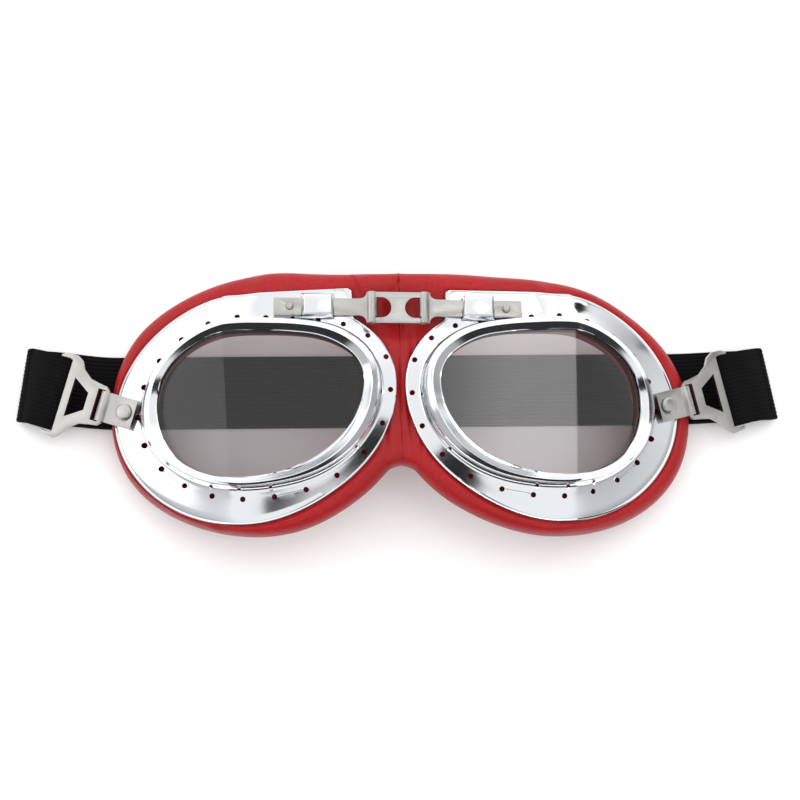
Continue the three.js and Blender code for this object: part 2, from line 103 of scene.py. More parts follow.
# One entry for each side. turn: the cup's turn in its own frame. lean: how far the cushion sits
# towards the temple and the cheek. tip: pivot of the buckle; reach and fold: the strap's turn.
SIDES = (
    {
        "name": "left", "sign": 1, "turn": math.radians(-1.4), "lean": (2.1, -0.85),
        "tip": Vector((99.957, -6.709, 14.316)), "bar": Vector((-0.241133, 0.965494, 0.098373)),
        "normal": Vector((0.348314, -0.008513, 0.937339)),
        "reach": 132.5, "fold_y": 1.2, "fold": Vector((-0.175, 0.985, 0)),
    },
    {
        "name": "right", "sign": -1, "turn": math.radians(-2.6), "lean": (-2.1, 0.85),
        "tip": Vector((99.868, -6.956, 14.39)), "bar": Vector((-0.293217, 0.947857, 0.124862)),
        "normal": Vector((0.348059, -0.015805, 0.937339)),
        "reach": 129.0, "fold_y": 2.7, "fold": Vector((-0.143, 0.99, 0)),
    },
)


# Curves and heights of a cup


def rounded(radii, spread):
    """Smooth periodic table of 1440 radii through radii at even angles, averaged over spread degrees."""
    steps = 1440
    values = np.asarray(radii, float)
    place = np.arange(steps) / steps * len(values)
    i = np.floor(place).astype(int)
    f = place - i
    r0, r1, r2, r3 = (values[(i + k) % len(values)] for k in (-1, 0, 1, 2))
    bend = (2 * r0 - 5 * r1 + 4 * r2 - r3) * f * f + (3 * (r1 - r2) + r3 - r0) * f**3
    return averaged(r1 + 0.5 * ((r2 - r0) * f + bend), spread)


def averaged(table, spread):
    """A periodic table smoothed with a bell of the given width in degrees."""
    away = np.arange(len(table))
    away = np.minimum(away, len(table) - away) * 360 / len(table)
    bell = np.exp(-0.5 * (away / spread) ** 2)
    return np.real(np.fft.ifft(np.fft.fft(table) * np.fft.fft(bell / bell.sum())))


def radius_from(table):
    """Radius of a table of radii as a function of the angle."""
    steps = len(table)

    def radius(angle):
        place = angle / (2 * math.pi) * steps % steps
        i = int(place)
        share = place - i
        return float(table[i % steps] * (1 - share) + table[(i + 1) % steps] * share)

    return radius


def plate_table():
    """The plate's outline with its squared corner beside the bridge."""
    base = rounded(PLATE_RADII, 4)
    turns = np.arange(len(base)) / len(base) * 2 * math.pi
    across = -np.cos(turns)
    up = np.sin(turns)
    near_ear = (across > 0.02) & (up > 0.02)
    corner = np.minimum(
        EAR_TOP_V / np.where(near_ear, up, 1), (CREASE_U - EAR_SIDE_U) / np.where(near_ear, across, 1)
    )
    return averaged(np.where(near_ear, np.maximum(base, corner), base), 0.5)


def cushion_table():
    """The cushion's outline, run on past the nose plane along a level brow edge and a round nose arch."""
    base = rounded(CUSHION_RADII, 2.5)
    table = base.copy()
    for i, least in enumerate(base):
        angle = 2 * math.pi * i / len(base)
        rise = math.sin(angle)
        if math.cos(angle) > -0.3 or abs(rise) < 1e-6:
            continue
        if rise > 0:
            table[i] = max(least, min(90.0, BROW_EDGE_V / rise))
        else:
            r = NOSE_ARCH_V / rise
            for _ in range(12):
                u = max(0.0, CREASE_U + r * math.cos(angle))
                r = 0.5 * (r + (NOSE_ARCH_V - u * u / 24) / rise)
            table[i] = max(least, min(90.0, r)) if angle < math.radians(214) else least
    return averaged(table, 1.0)


lens_radius = radius_from(rounded(LENS_RADII, 4))
bezel_radius = radius_from(rounded(BEZEL_RADII, 4))
plate_radius = radius_from(plate_table())
cushion_radius = radius_from(cushion_table())


def smoothstep(x, low, high):
    """Smooth rise from 0 at low to 1 at high."""
    t = min(1.0, max(0.0, (x - low) / (high - low)))
    return t * t * (3 - 2 * t)


def hump(x, middle, width):
    """Smooth hump of height 1 round a middle."""
    return math.exp(-(((x - middle) / width) ** 2))


def crown_z(u):
    """Crown of the bezel: level over the front pane, sloping down past the crease."""
    return FRONT_Z - max(0.0, u - CREASE_U) * SIDE_SLOPE


def outset(radius, angle, out, depth):
    """Point a distance outside an outline, measured square to it, and a depth below the crown."""
    step = 0.01

    def at(a):
        return Vector((radius(a) * math.cos(a), radius(a) * math.sin(a)))

    p = at(angle)
    along = (at(angle + step) - at(angle - step)).normalized()
    u = CREASE_U + p.x + along.y * out
    return Vector((u, p.y - along.x * out, crown_z(u) - depth))


def flange_point(angle, share, lift=0.0):
    """Point on the plate's flange, from its foot beside the bezel to its rim."""
    foot = outset(bezel_radius, angle, VALLEY_OUT, 0)
    r = plate_radius(angle)
    rim = Vector((CREASE_U + r * math.cos(angle), r * math.sin(angle), 0))
    foot.z = 0
    p = foot.lerp(rim, share)
    pad = smoothstep(angle, 1.72, 1.92) * (1 - smoothstep(angle, 2.5, 2.65))
    temple = max(0.0, math.cos(angle)) ** 2
    slope = (0.22 * (1 - temple) - FLANGE_RISE * temple) * (1 - pad)
    past = p.x - CREASE_U
    soft = SIDE_SLOPE * 0.5 * (math.hypot(past, 3.2) - abs(past)) * smoothstep(share, 0, 0.3)
    p.z = crown_z(p.x) - soft - VALLEY_DEPTH - slope * (p - foot).length + lift
    return p


def back_z(p):
    """Height of the cushion's back edge, which follows the face."""
    reach = min(abs(p.x), BACK_REACH_U) / BACK_REACH_U
    base = BACK_NOSE_Z - (BACK_NOSE_Z - BACK_TEMPLE_Z) * reach**2.2
    return base - (BACK_TEMPLE_Z - 0.05) * smoothstep(-p.y, 4, 9) * smoothstep(p.x, 74, 88)


# Objects


def only(obj):
    """Selects one object alone and makes it active."""
    bpy.ops.object.select_all(action="DESELECT")
    obj.select_set(True)
    bpy.context.view_layer.objects.active = obj


def fresh(name):
    """Names the primitive that was just added and returns it."""
    obj = bpy.context.active_object
    obj.name = name
    obj.data.name = name
    return obj


def edit(obj, *steps):
    """Runs edit-mode steps on everything in an object's mesh."""
    only(obj)
    bpy.ops.object.mode_set(mode="EDIT")
    bpy.ops.mesh.select_all(action="SELECT")
    for step in steps:
        step()
    bpy.ops.object.mode_set(mode="OBJECT")


def outward(obj):
    """Turns every face of a closed mesh outwards."""
    edit(obj, lambda: bpy.ops.mesh.normals_make_consistent(inside=False))


def smooth(obj, angle):
    """Smooth shading, with edges sharper than the angle kept crisp."""
    only(obj)
    bpy.ops.object.shade_smooth_by_angle(angle=math.radians(angle))


def finish_with(obj, kind, **settings):
    """Adds a modifier with these settings and applies it."""
    only(obj)
    modifier = obj.modifiers.new(kind.title(), kind)
    for key, value in settings.items():
        setattr(modifier, key, value)
    bpy.ops.object.modifier_apply(modifier=modifier.name)


def wear(obj, material):
    """Gives an object one material."""
    obj.data.materials.clear()
    obj.data.materials.append(material)


def ring_shell(name, stations, slices):
    """A torus reshaped so that stations[j](angle) are the corners of its section, in order."""
    only_nothing()
    bpy.ops.mesh.primitive_torus_add(
        major_segments=slices,
        minor_segments=len(stations),
        major_radius=50,
        minor_radius=5,
        generate_uvs=True,
    )
    obj = fresh(name)
    places = []
    for i in range(slices):
        angle = 2 * math.pi * i / slices
        for station in stations:
            p = station(angle)
            if 4 * i in (slices, 3 * slices) and abs(p.x - CREASE_U) < 0.6:
                p.z -= crown_z(p.x) - FRONT_Z
                p.x = CREASE_U
            places.extend(p)
    obj.data.vertices.foreach_set("co", places)
    obj.data.update()
    outward(obj)
    return obj


def only_nothing():
    """Deselects everything."""
    if bpy.context.object and bpy.context.object.mode != "OBJECT":
        bpy.ops.object.mode_set(mode="OBJECT")
    bpy.ops.object.select_all(action="DESELECT")


def cup_matrix(side, turn):
    """From a cup's own frame in millimetres to the world in metres."""
    about = Matrix.Translation((CREASE_U, 0, 0)) @ Matrix.Rotation(turn, 4, "Z")
    mirror = Matrix.Diagonal((side["sign"], 1, 1, 1))
    place = Matrix.Translation((0, CUP_Y, 0)) @ mirror @ about @ Matrix.Translation((-CREASE_U, 0, 0))
    return Matrix.Scale(MM, 4) @ place


def place_in_cups(model, label, material, node, angle):
    """Copies a piece that was modelled in a cup's frame into both cups, then removes the model."""
    for side in SIDES:
        obj = bpy.data.objects.new(f"{side['name']}_{label}", model.data.copy())
        bpy.context.collection.objects.link(obj)
        obj.data.transform(cup_matrix(side, side["turn"]))
        if side["sign"] < 0:
            obj.data.flip_normals()
        smooth(obj, angle)
        wear(obj, material)
        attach(obj, f"{side['name']}_cup")
        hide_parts(f"{side['name']}_{node}")
    bpy.data.objects.remove(model)


def bevelled_node(node, width, body, material, segments=3):
    """A copy of a CAD node with its edges rounded over, standing for that node."""
    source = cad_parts[node]
    obj = bpy.data.objects.new(f"{node}_metal", source.data.copy())
    bpy.context.collection.objects.link(obj)
    edit(
        obj,
        lambda: bpy.ops.mesh.remove_doubles(threshold=1e-6),
        lambda: bpy.ops.mesh.dissolve_limited(angle_limit=math.radians(1)),
        lambda: bpy.ops.mesh.normals_make_consistent(inside=False),
    )
    finish_with(
        obj, "BEVEL", width=width * MM, segments=segments, limit_method="ANGLE",
        angle_limit=math.radians(28), harden_normals=False,
    )
    smooth(obj, 35)
    wear(obj, material)
    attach(obj, body)
    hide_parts(node)
    return obj


# Materials


class Flow:
    """A shader socket. Python arithmetic on it adds Math nodes."""

    def __init__(self, finish, socket):
        self.finish = finish
        self.socket = socket

    def math(self, operation, *values):
        return self.finish.maths(operation, *values)

    def __add__(self, other):
        return self.math("ADD", self, other)

    def __sub__(self, other):
        return self.math("SUBTRACT", self, other)

    def __rsub__(self, other):
        return self.math("SUBTRACT", other, self)

    def __mul__(self, other):
        return self.math("MULTIPLY", self, other)

    def __truediv__(self, other):
        return self.math("DIVIDE", self, other)

    def __pow__(self, other):
        return self.math("POWER", self, other)

    def __lt__(self, other):
        return self.math("LESS_THAN", self, other)

    def __gt__(self, other):
        return self.math("GREATER_THAN", self, other)

    __radd__ = __add__
    __rmul__ = __mul__


class Finish:
    """The nodes of a material or a world in the making."""

    def __init__(self, owner):
        self.material = owner
        owner.use_nodes = True
        self.tree = owner.node_tree
        self.tree.nodes.clear()

    def node(self, kind, inputs, output=0, **settings):
        """Adds any node, sets or links its inputs and returns one output."""
        made = self.tree.nodes.new(kind)
        for key, value in settings.items():
            setattr(made, key, value)
        for key, value in inputs.items():
            self.feed(made.inputs[key], value)
        return Flow(self, made.outputs[output]) if made.outputs else made

    def feed(self, socket, value):
        if isinstance(value, Flow):
            self.tree.links.new(value.socket, socket)
        else:
            socket.default_value = value

    def maths(self, operation, *values):
        return self.node("ShaderNodeMath", dict(enumerate(values)), operation=operation)

    def clamp(self, value, low, high, to_low=0.0, to_high=1.0):
        """Value ramped from low..high to to_low..to_high and held there."""
        inputs = {"Value": value, "From Min": low, "From Max": high, "To Min": to_low, "To Max": to_high}
        return self.node("ShaderNodeMapRange", inputs, clamp=True)

    def mix(self, share, a, b):
        """Colour between a and b."""
        return self.node("ShaderNodeMix", {0: share, 6: a, 7: b}, 2, data_type="RGBA")

    def place(self):
        return self.node("ShaderNodeTexCoord", {}, "Object")

    def uv(self):
        """The piece's own metric UV, split into along and across."""
        both = self.node("ShaderNodeTexCoord", {}, "UV")
        split = self.tree.nodes.new("ShaderNodeSeparateXYZ")
        self.tree.links.new(both.socket, split.inputs[0])
        return Flow(self, split.outputs[0]), Flow(self, split.outputs[1])

    def noise(self, scale, detail=2.0, roughness=0.5, vector=None):
        inputs = {"Vector": vector or self.place(), "Scale": scale, "Detail": detail, "Roughness": roughness}
        return self.node("ShaderNodeTexNoise", inputs, 0)

    def cells(self, scale, feature="F1", output="Distance", vector=None):
        inputs = {"Vector": vector or self.place(), "Scale": scale}
        return self.node("ShaderNodeTexVoronoi", inputs, output, feature=feature)

    def stretched(self, scale):
        """Object coordinates stretched by three factors."""
        return self.node("ShaderNodeMapping", {"Vector": self.place(), "Scale": scale})

    def bump(self, height, strength, distance):
        inputs = {"Height": height, "Strength": strength, "Distance": distance}
        return self.node("ShaderNodeBump", inputs)

    def principled(self, **inputs):
        named = {key.replace("_", " "): value for key, value in inputs.items()}
        return self.node("ShaderNodeBsdfPrincipled", named)

    def done(self, shader):
        self.node("ShaderNodeOutputMaterial", {"Surface": shader})
        return self.material


def once(name, build):
    """The named material, built the first time it is asked for."""
    return bpy.data.materials.get(name) or build(name)


def rgba(colour):
    return (*colour, 1.0)


def chrome(name):
    """Bright pressed steel with faint waves, wipe marks and a few pinhead flecks."""
    f = Finish(bpy.data.materials.new(name))
    waves = f.noise(45, 1.0)
    wipes = f.noise(1.0, 4.0, 0.6, f.stretched((90, 600, 200)))
    flecks = f.clamp(f.cells(420), 0.02, 0.05)
    base = f.mix(wipes, rgba(bpy.context.scene.goggles_colours.chrome), (0.93, 0.95, 0.97, 1))
    shade = f.mix(flecks, (0.55, 0.55, 0.56, 1), base)
    rough = f.clamp(wipes, 0.35, 0.75, 0.025, 0.075) + f.clamp(f.noise(12, 3.0), 0.45, 0.7, 0, 0.03)
    normal = f.bump(waves + wipes * 0.02, 0.16, 0.0006)
    return f.done(f.principled(Base_Color=shade, Metallic=1.0, Roughness=rough, Normal=normal))


def nickel(name):
    """Satin nickel plate, brushed along its strips, with rubbed spots and pits."""
    f = Finish(bpy.data.materials.new(name))
    brush = f.noise(1.0, 5.0, 0.65, f.stretched((260, 5200, 3000)))
    rub = f.noise(160, 3.0)
    pits = f.clamp(f.cells(900), 0.05, 0.14)
    plain = rgba(bpy.context.scene.goggles_colours.nickel)
    tone = f.mix(f.clamp(rub, 0.35, 0.7), plain, (0.58, 0.57, 0.54, 1))
    shade = f.mix(pits, (0.34, 0.33, 0.31, 1), tone)
    rough = f.clamp(brush, 0.25, 0.8, 0.28, 0.42) + f.clamp(rub, 0.4, 0.8, -0.03, 0.05)
    normal = f.bump(brush * 0.4 + pits * 0.3 + rub * 0.5, 0.22, 0.00012)
    return f.done(f.principled(Base_Color=shade, Metallic=1.0, Roughness=rough, Normal=normal))


def leather(name):
    """Red grained leather, a little darker in the grain and where it is handled."""
    f = Finish(bpy.data.materials.new(name))
    colours = bpy.context.scene.goggles_colours
    warped = f.noise(240, 3.0)
    grain = f.cells(1150, "SMOOTH_F1")
    pores = f.noise(3600, 2.0, 0.7)
    patches = f.noise(38, 3.0, 0.55)
    tone = f.mix(f.clamp(patches, 0.35, 0.68), rgba(colours.leather_deep), rgba(colours.leather))
    creased = f.mix(f.clamp(grain + pores * 0.2, 0.3, 0.75), tone, rgba(colours.leather_deep))
    rubbed = f.mix(f.clamp(f.noise(900, 4.0, 0.7), 0.62, 0.8, 0, 0.35), creased, (0.55, 0.03, 0.03, 1))
    rough = f.clamp(patches, 0.3, 0.7, 0.4, 0.52) + f.clamp(pores, 0.3, 0.7, -0.04, 0.06)
    height = (1 - grain) * 0.5 + pores * 0.25 + warped * 0.8
    normal = f.bump(height, 0.3, 0.00022)
    shader = f.principled(
        Base_Color=rubbed, Roughness=rough, Normal=normal, Specular_IOR_Level=0.32,
        Coat_Weight=0.08, Coat_Roughness=0.3,
    )
    return f.done(shader)


def elastic(name):
    """Black elastic webbing: cords along the strap with a fine weave crossing them. Their tops are lighter
    with painted light and some random wear, and the grooves between them stay dark as painted shade.
    """
    f = Finish(bpy.data.materials.new(name))
    colours = bpy.context.scene.goggles_colours
    pitch = bpy.context.scene.goggles_sizes.rib_pitch
    along, across = f.uv()
    rib = f.maths("COSINE", across * (2 * math.pi / pitch)) * 0.5 + 0.5
    shift = f.maths("FLOOR", across / pitch + 0.5) * math.pi
    weave = f.maths("SINE", along * (2 * math.pi / 0.0009) + shift) * 0.5 + 0.5
    fuzz = f.noise(5200, 3.0, 0.7)
    height = rib * 0.8 + weave * 0.2 + fuzz * 0.15
    worn = f.clamp(f.noise(70, 3.0), 0.4, 0.75, 0.0, 0.5)
    # Painted light and shade: the colour follows the height of the ribs, lighter on the tops of cords and
    # weave and darker in the grooves; the worn noise is random wear.
    tops = f.clamp(rib * weave + worn * 0.3, 0.1, 1.1)
    shade = f.mix(tops, rgba(colours.elastic), rgba(colours.elastic_painted_rib_light))
    lint = f.mix(f.clamp(f.cells(1500), 0.0, 0.035), (0.09, 0.09, 0.095, 1), shade)
    normal = f.bump(height, 0.5, 0.0002)
    rough = f.clamp(fuzz, 0.2, 0.8, 0.78, 0.98)
    shader = f.principled(
        Base_Color=lint, Roughness=rough, Normal=normal, Specular_IOR_Level=0.1, Sheen_Weight=0.03,
        Sheen_Roughness=0.5,
    )
    return f.done(shader)


def tinted_pane(name):
    """Smoke-tinted plastic: the tint lets light through, and gloss rises at a glance."""
    f = Finish(bpy.data.materials.new(name))
    tint = bpy.context.scene.goggles_colours.lens_tint
    smear = f.noise(30, 3.0, 0.6)
    deep = tuple(c * 0.96 for c in tint)
    see = f.node("ShaderNodeBsdfTransparent", {"Color": f.mix(smear, rgba(tint), rgba(deep))})
    dust = f.clamp(f.cells(260), 0.0, 0.012)
    shine = f.principled(
        Base_Color=f.mix(smear, (0.02, 0.02, 0.022, 1), (0.03, 0.03, 0.03, 1)),
        Roughness=f.clamp(smear, 0.3, 0.8, 0.012, 0.05), Metallic=0.0, Coat_Weight=0.0,
        Normal=f.bump(f.noise(18, 1.0), 0.06, 0.0006), Specular_IOR_Level=0.5,
    )
    gloss = f.node("ShaderNodeBsdfGlossy", {"Color": (1, 1, 1, 1), "Roughness": 0.02})
    share = f.node("ShaderNodeFresnel", {"IOR": 1.42})
    pane = f.node("ShaderNodeMixShader", {0: share, 1: see, 2: gloss})
    return f.done(f.node("ShaderNodeMixShader", {0: (1 - dust) * 0.25 + 0.01, 1: pane, 2: shine}))


def black_plastic(name):
    """Moulded black plastic with a fine spark-eroded skin."""
    f = Finish(bpy.data.materials.new(name))
    skin = f.noise(2600, 3.0, 0.6)
    tone = f.mix(f.noise(60, 3.0), (0.012, 0.011, 0.011, 1), (0.03, 0.026, 0.026, 1))
    rough = f.clamp(skin, 0.3, 0.7, 0.42, 0.6)
    return f.done(f.principled(Base_Color=tone, Roughness=rough, Normal=f.bump(skin, 0.3, 0.0001)))


def thread(name):
    """Waxed sewing thread with its twist."""
    f = Finish(bpy.data.materials.new(name))
    twist = f.noise(1.0, 2.0, 0.5, f.stretched((4200, 4200, 1500)))
    colour = bpy.context.scene.goggles_colours.thread
    tone = f.mix(twist, rgba(colour), rgba(tuple(c * 0.6 for c in colour)))
    rough = f.clamp(twist, 0.3, 0.7, 0.5, 0.75)
    return f.done(f.principled(Base_Color=tone, Roughness=rough, Normal=f.bump(twist, 0.5, 0.0001)))


def pale_floor(name):
    """Matt white studio paper."""
    f = Finish(bpy.data.materials.new(name))
    tone = f.mix(f.noise(9, 2.0), (0.93, 0.93, 0.93, 1), (0.95, 0.95, 0.95, 1))
    rough = f.clamp(f.noise(220, 2.0), 0.3, 0.7, 0.86, 0.95)
    normal = f.bump(f.noise(900, 2.0), 0.05, 0.0002)
    return f.done(f.principled(Base_Color=tone, Roughness=rough, Normal=normal))


def black_card(name):
    """Black flock that only keeps light off."""
    f = Finish(bpy.data.materials.new(name))
    tone = f.mix(f.noise(20, 2.0), (0.003, 0.003, 0.003, 1), (0.006, 0.006, 0.006, 1))
    return f.done(f.principled(Base_Color=tone, Roughness=1.0, Specular_IOR_Level=0.0))


# Sizes and colours that a user would change


class GogglesSizes(bpy.types.PropertyGroup):
    vent_radius: bpy.props.FloatProperty(
        name="Vent radius", description="Radius of the vent holes round each lens", default=0.9 * MM,
        unit="LENGTH", precision=5,
    )
    edge_round: bpy.props.FloatProperty(
        name="Edge rounding", description="Rounding of the edges of the nickel strips", default=0.18 * MM,
        unit="LENGTH", precision=5,
    )
    rib_pitch: bpy.props.FloatProperty(
        name="Rib pitch", description="Distance between the cords of the elastic", default=1.4 * MM,
        unit="LENGTH", precision=5,
    )
    puff: bpy.props.FloatProperty(
        name="Cushion puff", description="Most that the cushion swells over its pattern", default=1.6 * MM,
        unit="LENGTH", precision=5,
    )


class GogglesColours(bpy.types.PropertyGroup):
    chrome: bpy.props.FloatVectorProperty(
        name="Chrome", description="Tone of the polished metal", default=(0.86, 0.88, 0.9), subtype="COLOR"
    )
    nickel: bpy.props.FloatVectorProperty(
        name="Nickel", description="Tone of the satin metal", default=(0.5, 0.49, 0.465), subtype="COLOR"
    )
    leather: bpy.props.FloatVectorProperty(
        name="Leather", description="Main red of the leather", default=(0.42, 0.0045, 0.0075), subtype="COLOR"
    )
    leather_deep: bpy.props.FloatVectorProperty(
        name="Leather grain",
        description="Darker red in the grain",
        default=(0.3, 0.003, 0.005),
        subtype="COLOR",
    )
    elastic: bpy.props.FloatVectorProperty(
        name="Elastic", description="Black of the elastic", default=(0.0025, 0.0025, 0.003), subtype="COLOR"
    )
    # Painted light: the lighter colour of the rib tops stands for light caught on them.
    elastic_painted_rib_light: bpy.props.FloatVectorProperty(
        name="Elastic ribs",
        description="Lighter tops of the ribs",
        default=(0.009, 0.009, 0.0105),
        subtype="COLOR",
    )
    lens_tint: bpy.props.FloatVectorProperty(
        name="Lens tint", description="Light let through by each face of a lens", default=(0.86, 0.86, 0.865),
        subtype="COLOR",
    )
    thread: bpy.props.FloatVectorProperty(
        name="Thread", description="Colour of the stitching", default=(0.55, 0.38, 0.24), subtype="COLOR"
    )


# Chrome cups


def vent_places():
    """Middles of the vent holes round the valley beside the bezel, closer together under the arm."""
    steps = 720
    walk = []
    for i in range(steps + 1):
        angle = 2 * math.pi * i / steps
        out = 2.45 - math.sin(angle) - 0.6 * math.cos(angle)
        out += 1.5 * hump(angle, 2.83, 0.2) - 1.1 * hump(angle, 2.23, 0.25)
        walk.append(outset(bezel_radius, angle, max(1.0, out), VALLEY_DEPTH))
    lengths = [0.0]
    for a, b in zip(walk, walk[1:]):
        lengths.append(lengths[-1] + (b.xy - a.xy).length)
    goals = [(k + 0.1 - 0.73 * hump(k, 10.8, 3.6)) / VENT_COUNT * lengths[-1] for k in range(VENT_COUNT)]
    return [walk[next(i for i, d in enumerate(lengths) if d >= goal)] for goal in goals]


def cut_round_holes(obj, places, lower, upper, depth):
    """Cuts one round or tapering hole at each place."""
    only_nothing()
    for k, p in enumerate(places):
        bpy.ops.mesh.primitive_cone_add(vertices=28, radius1=lower, radius2=upper, depth=depth, location=p)
        if k == 0:
            cutter = fresh("cutter")
            bpy.ops.object.transform_apply(location=True, rotation=True, scale=True)
            bpy.ops.object.mode_set(mode="EDIT")
    bpy.ops.object.mode_set(mode="OBJECT")
    finish_with(obj, "BOOLEAN", object=cutter, operation="DIFFERENCE", solver="EXACT")
    bpy.data.objects.remove(cutter)


def cut_groove(obj, a, b, radius, depth):
    """Presses a round-bottomed groove into the flange between two places."""
    only_nothing()
    lift = Vector((0, 0, radius - depth - 0.35))
    along = b - a
    turn = along.to_track_quat("Z", "Y").to_euler()
    middle = (a + b) / 2 + lift
    bpy.ops.mesh.primitive_cylinder_add(
        vertices=20, radius=radius, depth=along.length - 2.2, location=middle, rotation=turn
    )
    cutter = fresh("cutter")
    finish_with(obj, "BOOLEAN", object=cutter, operation="DIFFERENCE", solver="EXACT")
    bpy.data.objects.remove(cutter)


class GOGGLES_OT_frame_plates(bpy.types.Operator):
    """Pressed chrome plates with a rolled hem and vent holes"""

    bl_idname = "goggles.frame_plates"
    bl_label = "Frame Plates"

    def execute(self, context):
        def wall(out, depth):
            return lambda a: outset(bezel_radius, a, out, depth)

        def flange(share, lift):
            return lambda a: flange_point(a, share, lift)

        def hem(inward, lift):
            def at(a):
                rim = flange_point(a, 1)
                rim.x -= math.cos(a) * inward
                rim.y -= math.sin(a) * inward
                rim.z += lift
                return rim

            return at

        under = PLATE_THICKNESS
        stations = [
            lambda a: outset(lens_radius, a, 0.5, SEAT_DEPTH),
            wall(-0.9, SEAT_DEPTH), wall(-0.45, SEAT_DEPTH + 0.25), wall(-0.3, SEAT_DEPTH + 1.0),
            wall(-0.12, 6.7), wall(0.1, 7.5), wall(0.5, 8.15), wall(1.0, 8.45),
            flange(0.06, 0), flange(0.16, 0), flange(0.3, 0), flange(0.5, 0), flange(0.7, 0), flange(0.85, 0),
            hem(0.9, 0), hem(0.62, 0.12), hem(0.32, 0.13), hem(0.08, -0.06), hem(0.0, -0.45),
            hem(0.12, -0.95), hem(0.5, -under), hem(1.6, -under),
            flange(0.5, -under), flange(0.05, -under),
            wall(-1.2, SEAT_DEPTH + under), lambda a: outset(lens_radius, a, 0.5, SEAT_DEPTH + under),
        ]
        plate = ring_shell("plate", stations, 256)
        vents = vent_places()
        radius = context.scene.goggles_sizes.vent_radius / MM
        cut_round_holes(plate, vents, radius, radius, 12)
        rims = [p + Vector((0, 0, 0.32)) for p in vents]
        cut_round_holes(plate, rims, radius - 0.05, radius + 0.55, 0.9)
        second = [outset(bezel_radius, math.radians(a), 0.65, 7.4) for a in (177, 200, 244, 264, 284)]
        cut_round_holes(plate, second, 0.7, 0.7, 2.4)
        for k in (16, 20):
            cut_groove(plate, vents[k], vents[k + 1], 0.42, 0.36)
        place_in_cups(plate, "plate_chrome", once("chrome", chrome), "frame_plate", 30)
        return {"FINISHED"}


class GOGGLES_OT_lens_bezels(bpy.types.Operator):
    """Bright bezels with an inner and an outer slope meeting in a crown"""

    bl_idname = "goggles.lens_bezels"
    bl_label = "Lens Bezels"

    def execute(self, context):
        def inner(out, depth):
            return lambda a: outset(lens_radius, a, out, depth)

        def outer(out, depth):
            return lambda a: outset(bezel_radius, a, out, depth)

        def across(share, slope, drop=0.0):
            """A share of the way over the bezel, falling on either side of its crown, which swings
            outward below the lens; the crown is at share 0.48 of this count."""

            def at(a):
                inner_edge = outset(lens_radius, a, 0, 0)
                outer_edge = outset(bezel_radius, a, 0, 0)
                crown = 0.48 + 0.3 * max(0.0, -math.sin(a)) ** 0.7
                if share < 0.48:
                    place = share / 0.48 * crown
                else:
                    place = 1 - (1 - share) / 0.52 * (1 - crown)
                p = inner_edge.lerp(outer_edge, place)
                fall = slope * abs(place - crown) * (outer_edge.xy - inner_edge.xy).length
                p.z = crown_z(p.x) - fall - drop
                return p

            return at

        pocket = LENS_REBATE + GAP
        stations = [
            inner(0, LENS_DEPTH - GAP), inner(0.02, 1.9), across(0.06, 0.8), across(0.1, 0.8),
            across(0.25, 0.8), across(0.4, 0.8), across(0.445, 0.7), across(0.48, 0), across(0.515, 0.6),
            across(0.56, 0.8), across(0.72, 0.8), across(0.88, 0.8), across(0.95, 0.86),
            across(0.985, 1.0, 0.2), outer(0, 2.7), outer(0, 3.4),
            outer(0, SEAT_DEPTH - GAP), inner(pocket, SEAT_DEPTH - GAP), inner(pocket, LENS_DEPTH - GAP),
        ]
        bezel = ring_shell("bezel", stations, 256)
        place_in_cups(bezel, "bezel_chrome", once("chrome", chrome), "lens_bezel", 30)
        return {"FINISHED"}


class GOGGLES_OT_lenses(bpy.types.Operator):
    """Tinted panes, each with a front and a side face meeting in a crease"""

    bl_idname = "goggles.lenses"
    bl_label = "Lenses"

    def execute(self, context):
        count = 240
        only_nothing()
        bpy.ops.mesh.primitive_cylinder_add(
            vertices=count, radius=40, depth=LENS_THICKNESS, location=(0, 0, 0)
        )
        pane = fresh("pane")
        tops = FRONT_Z - LENS_DEPTH
        for vertex in pane.data.vertices:
            angle = math.atan2(vertex.co.y, vertex.co.x)
            below = 0 if vertex.co.z > 0 else LENS_THICKNESS
            rim = outset(lens_radius, angle % (2 * math.pi), LENS_REBATE, 0)
            vertex.co = (rim.x, rim.y, -below)
        edit(
            pane,
            lambda: bpy.ops.mesh.bisect(plane_co=(CREASE_U, 0, 0), plane_no=(1, 0, 0)),
        )
        for vertex in pane.data.vertices:
            vertex.co.z += crown_z(vertex.co.x) - FRONT_Z + tops
        outward(pane)
        finish_with(pane, "BEVEL", width=0.35, segments=2, limit_method="ANGLE", angle_limit=math.radians(20))
        place_in_cups(pane, "tinted_pane", once("tinted_pane", tinted_pane), "lens", 12)
        return {"FINISHED"}


class GOGGLES_OT_retainer_rings(bpy.types.Operator):
    """Black rings that hold the lenses from behind"""

    bl_idname = "goggles.retainer_rings"
    bl_label = "Retainer Rings"

    def execute(self, context):
        top = SEAT_DEPTH + PLATE_THICKNESS + GAP

        def corner(out, down):
            return lambda a: outset(lens_radius, a, out, top + down)

        stations = [
            corner(0.3, 0), corner(0.75, 0), corner(0.9, 0.15), corner(0.9, 1.7), corner(0.8, 1.85),
            corner(0.5, 1.85), corner(0.42, 1.7), corner(0.4, 1.2), corner(0.15, 1.0), corner(0.12, 0.2),
        ]
        ring = ring_shell("retainer", stations, 240)
        plastic = once("black_plastic", black_plastic)
        place_in_cups(ring, "retainer_plastic", plastic, "retainer_ring", 30)
        return {"FINISHED"}


# Cushions


